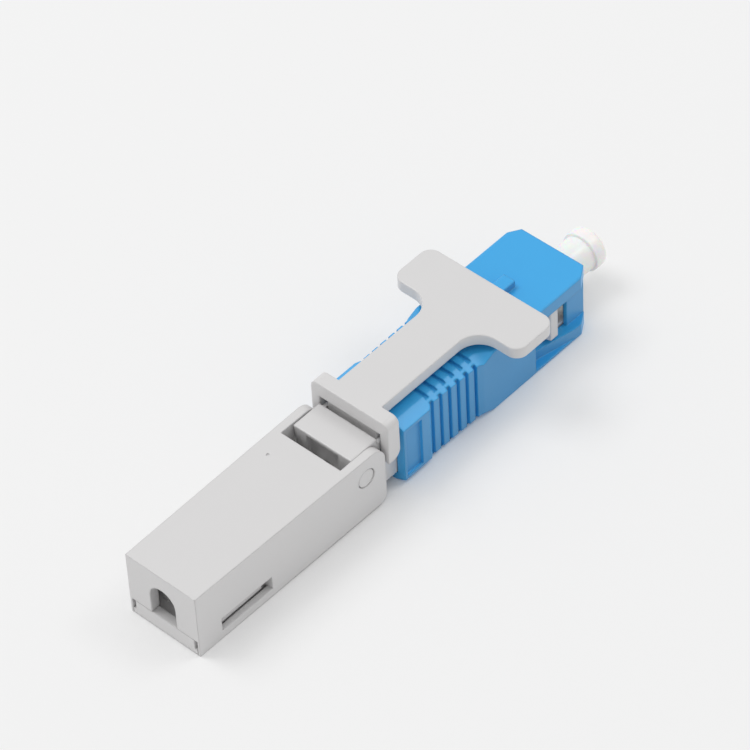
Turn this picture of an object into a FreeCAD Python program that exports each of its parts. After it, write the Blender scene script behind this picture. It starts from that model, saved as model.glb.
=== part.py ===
"""Field-fitted SC fibre connector for flat drop cable, in millimetres.

+X is the mating direction, +Y is left and +Z is up. The origin is on the ferrule's axis, in the plane of
the push-pull sleeve's front face. The connector lies on the sleeve's and the tail cover's undersides.
"""
import FreeCAD
import Part
import os

import Sketcher

Vector = FreeCAD.Vector

# Every independent size: the sheet's alias, its value in millimetres (or a count), and what it is.
SIZES = [
    ("run_gap", 0.08, "sliding clearance a side between the moving mouldings"),
    ("fit_gap", 0.02, "clearance a side between pieces that fit closely"),
    ("bite", 0.15, "how far a joined feature runs into the material that carries it"),
    ("past", 1.0, "how far a cut runs past the surface that it opens"),
    ("edge_round", 0.2, "small edge rounding on the mouldings"),
    # ferrule and what floats with it
    ("ferrule_radius", 1.25, "ferrule radius"),
    ("ferrule_long", 10.5, "ferrule length"),
    ("ferrule_tip", 1.0, "ferrule tip, ahead of the origin"),
    ("ferrule_float", 1.0, "how far the ferrule can be pushed back"),
    ("tip_bevel_long", 0.6, "ferrule's front bevel, along"),
    ("tip_bevel_in", 0.35, "ferrule's front bevel, across"),
    ("fibre_radius", 0.0625, "bare fibre's radius"),
    ("fibre_play", 0.0075, "clearance round the bare fibre in the ferrule"),
    ("coat_bore", 0.25, "radius of the holes for the coated fibre"),
    ("cone_radius", 0.5, "mouth radius of the cone in the ferrule's rear end"),
    ("cone_long", 1.2, "length of that cone"),
    ("barrel_wall", 0.45, "wall of the flange's barrel and of the carriage's neck"),
    ("barrel_long", 4.4, "length of the flange with its barrel"),
    ("flange_lip", 0.02, "how far the flange stands out past the spring"),
    ("flange_thick", 1.2, "flange thickness"),
    ("flange_bevel", 0.4, "flange's front bevel"),
    ("spigot_gap", 0.2, "from the ferrule's rear end to the carriage's spigot"),
    ("spring_wire", 0.2, "spring wire's radius"),
    ("spring_turns", 5, "turns of the spring"),
    ("trough_out", 0.15, "how far the splice trough stands out past the carriage's neck"),
    ("trough_wall", 0.4, "trough's wall and floor"),
    ("trough_end", 0.6, "trough's end walls"),
    ("trough_lip", 0.1, "height of the trough's walls above the splice"),
    ("splice_slack", 0.5, "space at each end of the splice and of its clip"),
    ("groove_deep", 0.1, "depth of the V groove"),
    ("groove_half", 0.0625, "half the width of the V groove"),
    ("base_face", 0.03, "V groove face, left of the fibre's axis"),
    ("lid_face", 0.07, "closed lid's face, right of the fibre's axis"),
    ("lid_open", 0.06, "how far the key holds the rear lid open"),
    ("lid_split", 0.1, "gap between the two lids"),
    ("notch_deep", 0.75, "depth of the notch that takes the key's blade"),
    ("notch_half", 0.4, "half the width of that notch at its mouth"),
    ("clip_thick", 0.16, "thickness of the splice clip"),
    ("clip_slit", 0.25, "slit between the clip's two halves"),
    # inner plug frame
    ("frame_front", 0.3, "front of the plug frame, behind the sleeve's front face"),
    ("frame_long", 20.5, "plug frame length"),
    ("frame_side_wall", 0.5, "plug frame's side wall round the spring"),
    ("frame_top_wall", 0.45, "plug frame's top and bottom wall round the spring"),
    ("side_room", 0.4, "room beside the flange in the plug frame"),
    ("top_room", 0.2, "room above the flange in the plug frame"),
    ("mouth_side_wall", 0.65, "side wall of the plug frame's front mouth"),
    ("mouth_top_wall", 0.55, "top and bottom wall of that mouth"),
    ("stop_front", 5.6, "front of the ferrule's stop wall, behind the origin"),
    ("stop_thick", 1.0, "thickness of the ferrule's stop wall"),
    ("stop_room", 0.5, "room round the ferrule in the stop wall"),
    ("shoulder_front", 3.85, "front of the latch shoulder, behind the origin"),
    ("shoulder_long", 2.1, "length of the latch shoulder"),
    ("shoulder_out", 0.9, "how far the latch shoulder stands out from the plug frame"),
    ("shoulder_lead", 0.2, "bevel of the latch shoulder's front edge"),
    ("shoulder_slope", 0.4, "slope of the latch shoulder's rear face"),
    ("shoulder_inset", 0.35, "from the edge of the side channel to the latch shoulder"),
    ("side_window_long", 2.25, "length of the plug frame's side windows"),
    ("snap_rear", 1.5, "rear end of the snap window, from the frame's rear"),
    ("snap_long", 1.6, "length of the snap window"),
    ("snap_half_wide", 1.2, "half the snap window's width"),
    # push-pull sleeve
    ("sleeve_long", 25.3, "sleeve length"),
    ("sleeve_wall", 1.32, "sleeve's side wall"),
    ("sleeve_roof", 0.77, "sleeve's top and bottom wall"),
    ("nose_long", 1.36, "plan chamfer of the sleeve's front, along the axis"),
    ("nose_in", 0.85, "plan chamfer of the sleeve's front, across"),
    ("channel_long", 7.7, "side channel, from the front face"),
    ("channel_half_high", 2.25, "half the side channel's height"),
    ("pillar_long", 2.35, "pillar in front of the window in the side channel"),
    ("pillar_thick", 0.42, "thickness of that pillar"),
    ("scoop_front", 2.2, "front end of the scoop below the channel, behind the front face"),
    ("scoop_floor", 1.3, "length of that scoop's level floor"),
    ("scoop_high", 1.1, "height of that scoop"),
    ("ridge_front", 6.0, "key ridge's front end, behind the front face"),
    ("ridge_long", 7.2, "key ridge's length"),
    ("ridge_half_wide", 0.7, "half the key ridge's width"),
    ("ridge_high", 0.8, "key ridge's height above the sleeve"),
    ("heel_long", 3.45, "plain heel behind the ribs"),
    ("heel_in", 0.08, "how far the heel stands in from the sleeve's side"),
    ("waist_in_front", 0.2, "how far the grip stands in from the sleeve's side at its first rib"),
    ("waist_in_rear", 0.38, "how far it stands in at its last rib"),
    ("grip_ease", 0.45, "length of the sloping steps at both ends of the ribs"),
    ("facet_in", 1.23, "width of the grip's corner facets, across"),
    ("facet_drop", 0.6, "height of the grip's corner facets"),
    ("facet_run", 1.47, "length over which a corner facet fades out into the front block"),
    ("facet_over", 0.2, "share by which the cut for a facet stands out of the sleeve"),
    ("rib_count", 6, "number of rib grooves"),
    ("rib_pitch", 1.13, "rib pitch"),
    ("rib_groove", 0.42, "width of a rib groove"),
    ("rib_land_front", 0.93, "from the start of the grip to the middle of the first groove"),
    ("rib_land_rear", 0.65, "from the middle of the last groove to the heel"),
    ("rib_side_deep", 0.32, "depth of the last rib groove on the sides"),
    ("rib_side_end", 0.36, "from the sleeve's top to the end of a side groove"),
    ("rib_top_deep", 0.25, "depth of a rib groove on top and below"),
    ("rib_top_end", 0.92, "from the sleeve's side to the end of a top groove"),
    ("panel_deep", 0.2, "depth of the heel's framed panel"),
    ("panel_long", 2.1, "length of the heel's framed panel"),
    ("panel_rim", 0.28, "rim between the panel and the heel's rear face"),
    ("panel_in", 0.9, "from the sleeve's top to the panel"),
    ("grip_play", 0.5, "the sleeve's travel while the key is in place"),
    # body moulding
    ("nose_reach", 7.6, "how far the body's nose reaches into the plug frame"),
    ("nose_gap", 0.04, "clearance a side of the nose in the plug frame"),
    ("seat_thick", 1.0, "spring seat at the nose's front"),
    ("seat_room", 0.4, "from the spring seat to the splice trough"),
    ("carriage_gap", 0.1, "clearance a side of the splice carriage in its room"),
    ("float_room", 0.3, "room left behind the carriage when it is pushed right back"),
    ("cavity_end", 1.2, "wall behind the carriage's room"),
    ("step_long", 2.6, "stepped part behind the nose"),
    ("neck_out", 0.3, "how far the neck stands out past the plug frame's side"),
    ("neck_up", 0.05, "how far the neck stands up past the plug frame's top"),
    ("neck_up_below", 0.15, "how far the neck's underside stays above the plug frame's"),
    ("seat_half", 3.0, "half the width of the recess that the key's foot rests in"),
    ("seat_deep", 0.55, "depth of that recess"),
    ("block_gap", 0.25, "from the key's saddle to the pivot block"),
    ("block_long", 3.35, "length of the pivot block"),
    ("block_rise", 0.54, "height of the pivot block above the neck"),
    ("block_round", 0.1, "rounding of the pivot block's upper edges"),
    ("recess_half", 1.65, "half the width of the recess round the fibre hole"),
    ("recess_top", 2.5, "top of that recess"),
    ("recess_deep", 0.6, "depth of that recess"),
    ("fibre_hole", 0.5, "radius of the fibre hole"),
    ("tray_lift", 0.1, "from the surface that the connector lies on to the tray"),
    ("tray_thick", 1.2, "thickness of the tray's floor"),
    ("sill_top", 1.95, "top of the rear sill, below the axis"),
    ("sill_rim", 0.3, "cover wall left beside the rear sill"),
    ("sill_play", 0.5, "room in front of the sill, for the cover's swing"),
    ("sill_notch", 0.32, "width of the sill's corner notches"),
    ("sill_notch_high", 1.1, "height of the sill's corner notches"),
    ("rail_inner", 1.55, "inner face of the cable rails"),
    ("rail_wall", 0.6, "thickness of the cable rails"),
    ("rail_top", 0.7, "top of the cable rails"),
    ("rail_back", 2.0, "from the cable rails to the cover's rear face"),
    ("rail_long", 8.8, "length of the cable rails"),
    ("tooth_count", 5, "gripping teeth on each rail"),
    ("tooth_pitch", 1.6, "pitch of those teeth"),
    ("tooth_high", 0.3, "how far a tooth stands out"),
    ("guide_long", 6.5, "length of the fibre guide"),
    ("guide_half", 1.5, "half the width of the fibre guide"),
    ("guide_top", 0.35, "top of the fibre guide, above the axis"),
    ("guide_bore", 0.55, "depth of the fibre guide's groove below the axis"),
    ("pivot_in", 2.5, "from the pivot block's front to the cover's pivot"),
    ("pivot_up", 1.18, "cover pivot, above the axis"),
    ("pivot_radius", 1.12, "pivot boss radius"),
    ("pivot_gap", 0.08, "running clearance of the pivot"),
    ("pivot_sink", 0.1, "how far a pivot boss's end stays inside the cover's side"),
    ("lug_reach", 0.4, "how far the latch lugs stand out from the tray"),
    ("lug_inset", 0.6, "from the end of a latch window to its lug"),
    # hinged tail cover
    ("cover_gap", 0.35, "from the key's saddle to the cover's ears"),
    ("cover_long", 23.65, "cover's length"),
    ("side_gap", 0.1, "gap between the ears and the block"),
    ("cover_wall", 0.9, "cover's side wall"),
    ("cover_roof", 0.95, "cover's roof"),
    ("cover_end", 1.0, "cover's rear wall"),
    ("cover_taper", 0.32, "how far the cover narrows a side towards its rear"),
    ("cover_rise", 0.08, "height of the cover's front above the pivot block"),
    ("tail_rise", 0.14, "how much higher the cover's rear is"),
    ("ear_lift", 0.25, "from the surface that the connector lies on to the ears"),
    ("notch_behind", 1.46, "from the pivot block to the rear edge of the cover's front notch"),
    ("ear_crown", 1.62, "rounding of the ears' upper front corners"),
    ("ear_toe", 0.8, "rounding of the ears' lower front corners"),
    ("arch_half", 1.57, "half the width of the cable arch"),
    ("arch_spring", 0.15, "height at which the arch's round top starts"),
    ("window_back", 2.83, "from the latch windows to the cover's rear face"),
    ("window_long", 6.22, "length of the latch windows"),
    ("window_above", 1.2, "top of the latch windows, above the tray's floor"),
    ("window_below", 0.3, "lower edge of the latch windows, below the tray's floor"),
    ("band_thick", 0.5, "thickness of the springy band below each latch window"),
    ("mark_behind", 2.24, "from the front notch to the round mould mark"),
    ("mark_side", 2.61, "mould mark, left of the axis"),
    ("mark_radius", 0.42, "mould mark's radius"),
    ("mark_deep", 0.06, "mould mark's floor, below the cover's front top"),
    ("press_count", 3, "cable-pressing ribs under the roof"),
    ("press_pitch", 1.9, "pitch of those ribs"),
    ("press_half", 1.3, "half the width of those ribs"),
    ("press_thick", 0.5, "thickness of those ribs"),
    ("press_low", 1.1, "lower edge of those ribs, above the axis"),
    # T-shaped opening key
    ("key_lift", 0.63, "height of the key plate above the sleeve"),
    ("key_thick", 1.25, "key plate's thickness"),
    ("head_front", 8.32, "front of the key's head, behind the origin"),
    ("head_long", 5.09, "length of the key's head"),
    ("head_half", 7.45, "half the key head's width"),
    ("head_round", 1.2, "rounding of the head's corners"),
    ("stem_half", 2.54, "half the stem's width"),
    ("stem_fillet", 2.3, "fillet between head and stem"),
    ("saddle_long", 1.52, "length of the saddle"),
    ("saddle_out", 0.13, "how far the saddle stands out past the cover's side"),
    ("saddle_bar", 1.5, "height of the saddle's bar"),
    ("saddle_low", 0.78, "lower end of the saddle's legs"),
    ("saddle_crown", 0.75, "rounding of the saddle's upper corners"),
    ("saddle_toe", 1.0, "rounding of the legs' lower front corners"),
    ("leg_gap", 0.16, "gap between the saddle's legs and the neck"),
    ("foot_half", 1.3, "half the width of the foot that the key rests on"),
    ("blade_long", 0.9, "length of the blade, along the connector"),
    ("blade_half", 0.3, "half the blade's thickness"),
    ("blade_in", 0.45, "how far the blade reaches into the splice"),
    ("blade_edge", 0.08, "half the thickness of the blade's edge"),
    ("blade_taper", 0.5, "height of the blade's tapered edge"),
    ("blade_room", 0.3, "room before and behind the blade in its slot and its notch"),
    ("blade_play", 0.18, "room beside the blade in its slot"),
    # dust cap
    ("cap_in", 3.5, "how far the dust cap reaches in behind the origin"),
    ("cap_gap", 0.02, "dust cap's clearance on the ferrule"),
    ("cap_wall", 0.55, "dust cap's wall round the ferrule"),
    ("cap_room", 0.7, "room between the ferrule's tip and the end of the cap's hole"),
    ("cap_rim_rear", 3.85, "rear face of the cap's rim, ahead of the origin"),
    ("cap_rim_long", 1.5, "length of the cap's rim"),
    ("cap_rim_out", 0.35, "how far the rim stands out past the cap's tube"),
    ("cap_bevel", 0.35, "bevel of the cap's rim"),
]


class Length:
    """A size: the spreadsheet expression that gives it, and its present number."""

    def __init__(self, text, number):
        self.text = text
        self.number = number

    def joined(self, sign, other, number):
        return Length("(%s %s %s)" % (self.text, sign, other.text), number)

    def __add__(self, other):
        other = as_length(other)
        return self.joined("+", other, self.number + other.number)

    def __radd__(self, other):
        return as_length(other) + self

    def __sub__(self, other):
        other = as_length(other)
        return self.joined("-", other, self.number - other.number)

    def __rsub__(self, other):
        return as_length(other) - self

    def __mul__(self, other):
        other = as_length(other)
        return self.joined("*", other, self.number * other.number)

    def __rmul__(self, other):
        return as_length(other) * self

    def __truediv__(self, other):
        other = as_length(other)
        return self.joined("/", other, self.number / other.number)

    def __neg__(self):
        return as_length(0) - self


def as_length(value):
    """Let plain numbers stand beside sizes from the sheet."""
    if isinstance(value, Length):
        return value
    return Length("(%r)" % float(value), float(value))


class SizeSheet:
    """The driving sizes, kept in a spreadsheet and read by their aliases."""

    def __init__(self, document, rows):
        self.sheet = document.addObject("Spreadsheet::Sheet", "Size")
        self.numbers = {}
        for row, (alias, value, meaning) in enumerate(rows, start=1):
            self.sheet.set("A%d" % row, meaning)
            self.sheet.set("B%d" % row, str(value))
            self.sheet.setAlias("B%d" % row, alias)
            self.numbers[alias] = value
        document.recompute()

    def __getattr__(self, alias):
        return Length("Size.%s" % alias, float(self.numbers[alias]))


doc = FreeCAD.newDocument("ScConnector")
size = SizeSheet(doc, SIZES)
CUTS = []
TOUCH = 1e-3
SIDES = (1, -1)

# The origin plane square to each axis, and the sign of that plane's normal along the axis.
PLANES = {"X": ("YZ_Plane", 1), "Y": ("XZ_Plane", -1), "Z": ("XY_Plane", 1)}


# ---- sizes that follow from the driving ones; a place along the axis is a distance behind the origin

# Outwards from the ferrule.
fibre_bore = size.fibre_radius + size.fibre_play
barrel_radius = size.ferrule_radius + size.barrel_wall
spring_mean = barrel_radius + size.run_gap + size.spring_wire
flange_radius = spring_mean + size.spring_wire + size.flange_lip
frame_half_wide = flange_radius + size.side_room + size.frame_side_wall
frame_half_high = flange_radius + size.top_room + size.frame_top_wall
sleeve_half_wide = frame_half_wide + size.run_gap + size.sleeve_wall
sleeve_half_high = frame_half_high + size.run_gap + size.sleeve_roof
heel_half_wide = sleeve_half_wide - size.heel_in
channel_floor = frame_half_wide + size.run_gap + size.pillar_thick
shoulder_half_high = size.channel_half_high - size.shoulder_inset
neck_half_wide = frame_half_wide + size.neck_out
neck_top = frame_half_high + size.neck_up
neck_bottom = frame_half_high - size.neck_up_below
seat_floor = neck_top - size.seat_deep
block_top = neck_top + size.block_rise
tray_bottom = sleeve_half_high - size.tray_lift
tray_top = tray_bottom - size.tray_thick
window_top = tray_top - size.window_above
window_low = tray_top + size.window_below
ear_inner = neck_half_wide + size.side_gap
cover_half_front = ear_inner + size.cover_wall
cover_half_rear = cover_half_front - size.cover_taper
cover_top_front = block_top + size.cover_rise
cover_top_rear = cover_top_front + size.tail_rise
tray_half_rear = cover_half_rear - size.cover_wall - size.run_gap
sill_half = cover_half_rear - size.sill_rim
saddle_half = cover_half_front + size.saddle_out
key_under = sleeve_half_high + size.key_lift
key_top = key_under + size.key_thick
bar_low = key_top - size.saddle_bar

# The splice and its trough.
trough_half = barrel_radius + size.trough_out
trough_inner = trough_half - size.trough_wall
splice_half_high = trough_inner - size.run_gap - size.clip_thick - size.fit_gap
splice_half_wide = splice_half_high - size.lid_open
trough_top = splice_half_high + size.trough_lip
cavity_half = trough_half + size.carriage_gap
blade_tip = splice_half_high - size.blade_in

# Back along the sleeve.
rib_last = size.sleeve_long - size.heel_long - size.rib_land_rear
rib_first = rib_last - size.rib_pitch * (size.rib_count - 1)
grip_start = rib_first - size.rib_land_front
ridge_rear = size.ridge_front + size.ridge_long

# Back along the frame, the body, the key's saddle and the cover.
flange_front = size.stop_front + size.stop_thick
flange_rear = flange_front + size.flange_thick
barrel_rear = flange_front + size.barrel_long
spigot_front = size.ferrule_long - size.ferrule_tip + size.spigot_gap
frame_rear = size.frame_front + size.frame_long
nose_front = frame_rear - size.nose_reach
cavity_front = nose_front + size.seat_thick
step_rear = frame_rear + size.step_long
saddle_front = size.sleeve_long + size.grip_play + size.run_gap
saddle_rear = saddle_front + size.saddle_long
blade_middle = (saddle_front + saddle_rear) / 2
blade_front = blade_middle - size.blade_long / 2
blade_rear = blade_middle + size.blade_long / 2
block_front = saddle_rear + size.block_gap
block_rear = block_front + size.block_long
cavity_rear = block_rear - size.cavity_end
pivot_back = block_front + size.pivot_in
guide_rear = block_rear + size.guide_long
cover_front = saddle_rear + size.cover_gap
cover_rear = cover_front + size.cover_long
cover_notch = block_rear + size.notch_behind
window_rear = cover_rear - size.window_back
window_front = window_rear - size.window_long
rail_rear = cover_rear - size.rail_back
rail_front = rail_rear - size.rail_long
head_rear = size.head_front + size.head_long

# Back along the splice.
trough_front = cavity_front + size.seat_room
trough_rear = cavity_rear - size.ferrule_float - size.float_room
splice_front = trough_front + size.trough_end + size.splice_slack
splice_rear = trough_rear - size.trough_end - size.splice_slack
splice_middle = (splice_front + splice_rear) / 2
notch_front = blade_front - size.ferrule_float - size.blade_room

# The dust cap.
cap_bore = size.ferrule_radius + size.cap_gap
cap_tube = size.ferrule_radius + size.cap_wall
cap_rim = cap_tube + size.cap_rim_out
cap_front = size.cap_rim_rear + size.cap_rim_long


# ---- modelling helpers

def bind(obj, path, value):
    """Tie a property to the sheet."""
    obj.setExpression(path, as_length(value).text)


def new_body(label):
    return doc.addObject("PartDesign::Body", label)


def origin_feature(body, role):
    return next(item for item in body.Origin.OriginFeatures if item.Role == role)


def new_sketch(body, name, axis, level):
    """Put a sketch square to an axis, at a level along it."""
    role, sign = PLANES[axis]
    sketch = body.newObject("Sketcher::SketchObject", name)
    sketch.AttachmentSupport = [(origin_feature(body, role), "")]
    sketch.MapMode = "FlatFace"
    bind(sketch, "AttachmentOffset.Base.z", level * sign)
    return sketch


def fix_point(sketch, geometry, vertex, point):
    """Hold a sketch point at its two sizes, measured from the sketch's origin."""
    for kind, value in zip(("DistanceX", "DistanceY"), point):
        value = as_length(value)
        row = sketch.addConstraint(Sketcher.Constraint(kind, -1, 1, geometry, vertex, value.number))
        sketch.setExpression("Constraints[%d]" % row, value.text)


def draw_polygon(sketch, points):
    """Draw a closed polygon with every corner held by its sizes."""
    points = [(as_length(u), as_length(v)) for u, v in points]
    first = sketch.GeometryCount
    for start, end in zip(points, points[1:] + points[:1]):
        corners = [Vector(u.number, v.number, 0) for u, v in (start, end)]
        sketch.addGeometry(Part.LineSegment(*corners), False)
    count = len(points)
    for index in range(count):
        following = first + (index + 1) % count
        sketch.addConstraint(Sketcher.Constraint("Coincident", first + index, 2, following, 1))
    for index, point in enumerate(points):
        fix_point(sketch, first + index, 1, point)


def draw_circle(sketch, centre, radius):
    centre = [as_length(value) for value in centre]
    radius = as_length(radius)
    middle = Vector(centre[0].number, centre[1].number, 0)
    row = sketch.addGeometry(Part.Circle(middle, Vector(0, 0, 1), radius.number), False)
    fix_point(sketch, row, 3, centre)
    rule = sketch.addConstraint(Sketcher.Constraint("Radius", row, radius.number))
    sketch.setExpression("Constraints[%d]" % rule, radius.text)


def rectangle(u_low, u_high, v_low, v_high):
    return [(u_low, v_low), (u_high, v_low), (u_high, v_high), (u_low, v_high)]


def mirrored(points):
    """Close one side's outline with its mirror image across the sketch's horizontal axis."""
    return points + [(u, -v) for u, v in reversed(points)]


def draw_all(sketch, shapes):
    """Draw polygons, given as lists of points, and circles, given as (centre, radius)."""
    for shape in shapes:
        if isinstance(shape, tuple):
            draw_circle(sketch, *shape)
        else:
            draw_polygon(sketch, shape)


def ordered(low, high):
    low, high = as_length(low), as_length(high)
    return (low, high) if low.number < high.number else (high, low)


def pad(body, name, axis, low, high, *shapes):
    """Add material between two levels along an axis."""
    low, high = ordered(low, high)
    start = low if PLANES[axis][1] > 0 else high
    sketch = new_sketch(body, name + "Sketch", axis, start)
    draw_all(sketch, shapes)
    feature = body.newObject("PartDesign::Pad", name)
    feature.Profile = sketch
    bind(feature, "Length", high - low)
    return feature


def pocket(body, name, axis, low, high, *shapes):
    """Cut material away between two levels along an axis."""
    low, high = ordered(low, high)
    start = high if PLANES[axis][1] > 0 else low
    base = body.Tip
    sketch = new_sketch(body, name + "Sketch", axis, start)
    draw_all(sketch, shapes)
    feature = body.newObject("PartDesign::Pocket", name)
    feature.Profile = sketch
    bind(feature, "Length", high - low)
    CUTS.append((base, feature))
    return feature


def turned(body, name, kind, profile):
    """Turn a profile, given as (x, radius) points, about the connector's axis."""
    base = body.Tip
    sketch = new_sketch(body, name + "Sketch", "Y", 0)
    draw_polygon(sketch, profile)
    feature = body.newObject("PartDesign::" + kind, name)
    feature.Profile = sketch
    feature.ReferenceAxis = (sketch, ["H_Axis"])
    feature.Angle = 360
    if kind == "Groove":
        CUTS.append((base, feature))
    return feature


def repeated(body, name, feature, pitch, count):
    """Repeat a feature backwards along the connector."""
    pattern = body.newObject("PartDesign::LinearPattern", name)
    pattern.Originals = [feature]
    pattern.Direction = (origin_feature(body, "X_Axis"), [""])
    pattern.Reversed = True
    bind(pattern, "Length", pitch * (count - 1))
    bind(pattern, "Occurrences", count)
    body.Tip = pattern
    return pattern


def straight_edges(feature, axis, **place):
    """Name the straight edges along an axis whose middles lie at the given places, on either side."""
    direction = {"X": Vector(1, 0, 0), "Y": Vector(0, 1, 0), "Z": Vector(0, 0, 1)}[axis]
    found = []
    for row, edge in enumerate(feature.Shape.Edges, start=1):
        if not isinstance(edge.Curve, Part.Line):
            continue
        if abs(abs(edge.Curve.Direction.dot(direction)) - 1) > TOUCH ** 2:
            continue
        middle = edge.CenterOfMass
        actual = {"x": middle.x, "y": abs(middle.y), "z": middle.z}
        if all(abs(actual[key] - as_length(value).number) < TOUCH for key, value in place.items()):
            found.append("Edge%d" % row)
    if not found:
        raise ValueError("no edge of %s lies at %s" % (feature.Label, sorted(place)))
    return found


def round_edges(body, name, names, radius, kind="Fillet"):
    """Round or bevel named edges of the body's last feature."""
    base = body.Tip
    feature = body.newObject("PartDesign::" + kind, name)
    feature.Base = (base, names)
    bind(feature, "Radius" if kind == "Fillet" else "Size", radius)
    return feature


def loft(body, name, kind, sections):
    """Join rectangles square to the axis, given as (level, points)."""
    base = body.Tip
    sketches = []
    for row, (level, points) in enumerate(sections):
        sketch = new_sketch(body, "%sSketch%d" % (name, row), "X", level)
        draw_polygon(sketch, points)
        sketches.append(sketch)
    feature = body.newObject("PartDesign::" + kind, name)
    feature.Profile = sketches[0]
    feature.Sections = sketches[1:]
    feature.Ruled = True
    if kind == "SubtractiveLoft":
        CUTS.append((base, feature))
    return feature


# ---- the push-pull sleeve

def facet_section(side, up, share):
    """The corner that a long facet cuts off, once it has reached a share of its full width."""
    over_in = size.facet_in * size.facet_over
    over_down = size.facet_drop * size.facet_over
    outside = side * (sleeve_half_wide + over_in)
    above = up * (sleeve_half_high + over_down)
    return [
        (side * (sleeve_half_wide - size.facet_in * share - over_in), above),
        (outside, above),
        (outside, up * (sleeve_half_high - size.facet_drop * share - over_down)),
    ]


def cut_sleeve_side(body, row, side):
    """A channel and window, which the adapter's latches reach through, and the marks round them."""
    reach = sleeve_half_wide + size.past
    high = size.channel_half_high
    pocket(body, "Channel%d" % row, "Y", side * channel_floor, side * reach,
           rectangle(-size.channel_long, size.past, -high, high))
    pocket(body, "Window%d" % row, "Y", side * frame_half_wide, side * reach,
           rectangle(-size.channel_long, -size.pillar_long, -high, high))
    scoop = [
        (-size.scoop_front, side * sleeve_half_wide),
        (-size.channel_long + size.scoop_floor, side * channel_floor),
        (-size.channel_long, side * channel_floor),
        (-size.channel_long, side * reach),
        (-size.scoop_front, side * reach),
    ]
    pocket(body, "Scoop%d" % row, "Z", -high - size.scoop_high, -high, scoop)
    panel_rear = -size.sleeve_long + size.panel_rim
    panel_high = sleeve_half_high - size.panel_in
    pocket(body, "Panel%d" % row, "Y", side * (heel_half_wide - size.panel_deep), side * reach,
           rectangle(panel_rear, panel_rear + size.panel_long, -panel_high, panel_high))


def make_grip_sleeve():
    body = new_body("grip_sleeve")
    half, high = sleeve_half_wide, sleeve_half_high
    rear = -size.sleeve_long
    heel_front = rear + size.heel_long
    waist_rear = half - size.waist_in_rear
    outline = [
        (0, half - size.nose_in),
        (-size.nose_long, half),
        (-grip_start, half),
        (-grip_start - size.grip_ease, half - size.waist_in_front),
        (heel_front + size.grip_ease, waist_rear),
        (heel_front, heel_half_wide),
        (rear, heel_half_wide),
    ]
    pad(body, "SleeveBlock", "Z", -high, high, mirrored(outline))
    doc.recompute()
    long_edges = [name for up in SIDES for name in straight_edges(body.Tip, "X", y=half, z=up * high)]
    round_edges(body, "FrontRounds", long_edges, size.edge_round)

    # The four long corners are faceted from the ribs to the rear face, and fade out in front of the ribs.
    fade_end = -grip_start + size.facet_run
    for row, (side, up) in enumerate((side, up) for side in SIDES for up in SIDES):
        full = facet_section(side, up, 1)
        pocket(body, "Facet%d" % row, "X", rear - size.past, -grip_start, full)
        loft(body, "FacetFade%d" % row, "SubtractiveLoft",
             [(-grip_start, full), (fade_end, facet_section(side, up, 0))])

    # A rib groove is cut into all four sides and leaves the middle of the facets; the pattern makes the rest.
    reach = half + size.past
    side_floor, side_end = waist_rear - size.rib_side_deep, high - size.rib_side_end
    top_floor, top_end = high - size.rib_top_deep, half - size.rib_top_end
    groove = pocket(body, "RibGroove", "X", -rib_first - size.rib_groove / 2, -rib_first + size.rib_groove / 2,
                    rectangle(side_floor, reach, -side_end, side_end),
                    rectangle(-reach, -side_floor, -side_end, side_end),
                    rectangle(-top_end, top_end, top_floor, reach),
                    rectangle(-top_end, top_end, -reach, -top_floor))
    repeated(body, "RibGrooves", groove, size.rib_pitch, size.rib_count)

    # The key ridge stands on the roof and keeps the plug the right way up in its adapter.
    ridge_top = high + size.ridge_high
    pad(body, "KeyRidge", "Z", high - size.bite, ridge_top,
        rectangle(-ridge_rear, -size.ridge_front, -size.ridge_half_wide, size.ridge_half_wide))

    # The plug frame runs in the bore, and the body's neck in the wider rear end.
    gap = size.run_gap
    wide, tall = frame_half_wide + gap, frame_half_high + gap
    pocket(body, "FrameBore", "X", rear - size.past, size.past, rectangle(-wide, wide, -tall, tall))
    neck_wide = neck_half_wide + gap
    pocket(body, "NeckBore", "X", rear - size.past, -frame_rear - gap,
           rectangle(-neck_wide, neck_wide, -(neck_bottom + gap), neck_top + gap))
    for row, side in enumerate(SIDES):
        cut_sleeve_side(body, row, side)
    doc.recompute()
    ridge_edges = straight_edges(body.Tip, "X", y=size.ridge_half_wide, z=ridge_top)
    round_edges(body, "RidgeRounds", ridge_edges, size.edge_round)
    return body


# ---- the inner plug frame

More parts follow.
